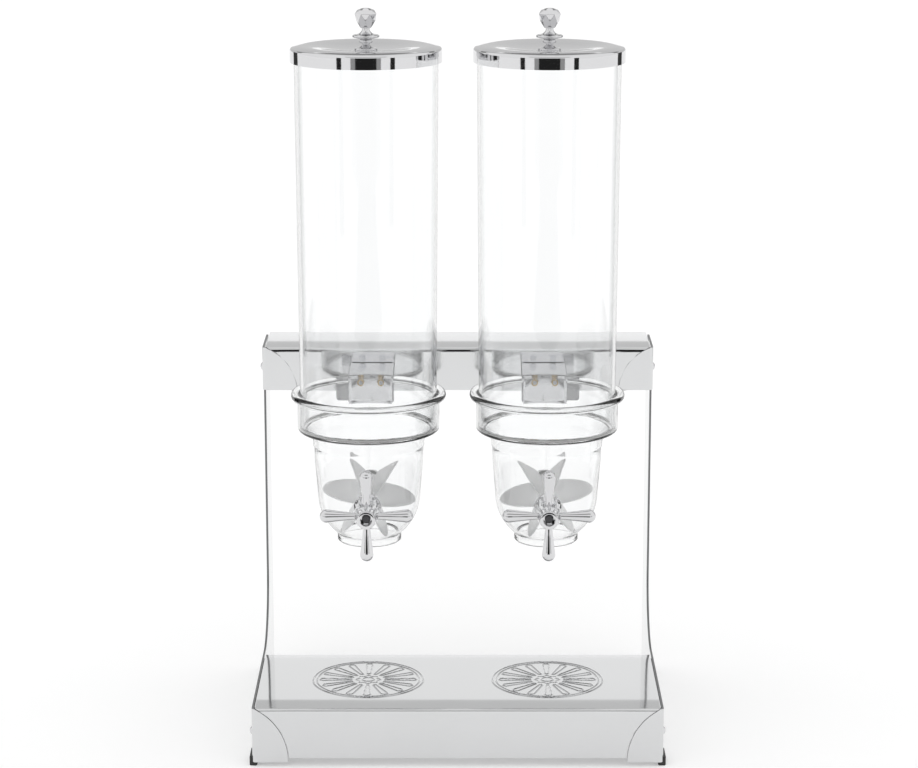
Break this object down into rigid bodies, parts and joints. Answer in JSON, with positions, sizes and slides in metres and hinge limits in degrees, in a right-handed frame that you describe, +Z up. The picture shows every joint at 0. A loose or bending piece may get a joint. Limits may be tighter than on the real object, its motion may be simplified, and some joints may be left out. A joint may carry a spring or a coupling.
{
  "type": "cereal dispenser",
  "caption": "Free-standing twin dry-food dispenser: clear tubes in clear bowls with crank-turned paddle wheels, hung on a folded steel stand.",
  "frame": {"origin": "middle of the footprint, on the surface that the feet stand on", "axes": "+Z up, +X to the user's right, +Y away from the user; the handles face -Y"},
  "size_m": [0.3588, 0.284, 0.643],
  "materials": {
    "polished_steel": "mirror-polished stainless sheet",
    "chrome": "bright chrome",
    "zinc_steel": "zinc-plated fasteners",
    "clear_plastic": "clear moulded plastic, gloss",
    "silicone": "light grey soft silicone, matt",
    "seal_rubber": "translucent grey seal",
    "black_rubber": "black rubber, matt",
    "bearing_plastic": "white bearing plastic",
    "brass_insert": "brass inserts"
  },
  "bodies": {
    "stand": {"base_deck": "polished_steel", "side_plate_left": "polished_steel", "side_plate_right": "polished_steel", "top_beam": "polished_steel", "base_screws": "chrome", "beam_screws": "chrome", "stand_nuts": "zinc_steel", "rubber_feet": "black_rubber", "wall_hook_left": "chrome", "hook_screws_left": "zinc_steel", "hook_nuts_left": "zinc_steel", "wall_hook_right": "chrome", "hook_screws_right": "zinc_steel", "hook_nuts_right": "zinc_steel"},
    "bowl_unit_left": {"bowl_left": "clear_plastic", "seal_left": "seal_rubber", "front_bush_left": "bearing_plastic", "rear_bush_left": "bearing_plastic", "escutcheon_left": "chrome", "hanger_left": "chrome", "inserts_left": "brass_insert", "hanger_screws_left": "zinc_steel"},
    "crank_left": {"cross_handle_left": "chrome", "handle_screw_left": "zinc_steel", "shaft_left": "zinc_steel", "paddle_wheel_left": "silicone"},
    "tube_unit_left": {"tube_left": "clear_plastic"},
    "lid_unit_left": {"lid_left": "chrome", "lid_knob_left": "chrome", "lid_screw_left": "zinc_steel"},
    "bowl_unit_right": {"bowl_right": "clear_plastic", "seal_right": "seal_rubber", "front_bush_right": "bearing_plastic", "rear_bush_right": "bearing_plastic", "escutcheon_right": "chrome", "hanger_right": "chrome", "inserts_right": "brass_insert", "hanger_screws_right": "zinc_steel"},
    "crank_right": {"cross_handle_right": "chrome", "handle_screw_right": "zinc_steel", "shaft_right": "zinc_steel", "paddle_wheel_right": "silicone"},
    "tube_unit_right": {"tube_right": "clear_plastic"},
    "lid_unit_right": {"lid_right": "chrome", "lid_knob_right": "chrome", "lid_screw_right": "zinc_steel"}
  },
  "joints": [
    {"name": "bowl_lift_left", "type": "slide", "parent": "stand", "child": "bowl_unit_left", "axis": [0, 0, 1], "range_m": [0, 0.04]},
    {"name": "crank_turn_left", "type": "hinge", "parent": "bowl_unit_left", "child": "crank_left", "pos_m": [-0.077, -0.052, 0.223], "axis": [0, 1, 0], "continuous": true},
    {"name": "tube_lift_left", "type": "slide", "parent": "bowl_unit_left", "child": "tube_unit_left", "axis": [0, 0, 1], "range_m": [0, 0.05]},
    {"name": "lid_lift_left", "type": "slide", "parent": "tube_unit_left", "child": "lid_unit_left", "axis": [0, 0, 1], "range_m": [0, 0.05]},
    {"name": "bowl_lift_right", "type": "slide", "parent": "stand", "child": "bowl_unit_right", "axis": [0, 0, 1], "range_m": [0, 0.04]},
    {"name": "crank_turn_right", "type": "hinge", "parent": "bowl_unit_right", "child": "crank_right", "pos_m": [0.077, -0.052, 0.223], "axis": [0, 1, 0], "continuous": true},
    {"name": "tube_lift_right", "type": "slide", "parent": "bowl_unit_right", "child": "tube_unit_right", "axis": [0, 0, 1], "range_m": [0, 0.05]},
    {"name": "lid_lift_right", "type": "slide", "parent": "tube_unit_right", "child": "lid_unit_right", "axis": [0, 0, 1], "range_m": [0, 0.05]}
  ]
}
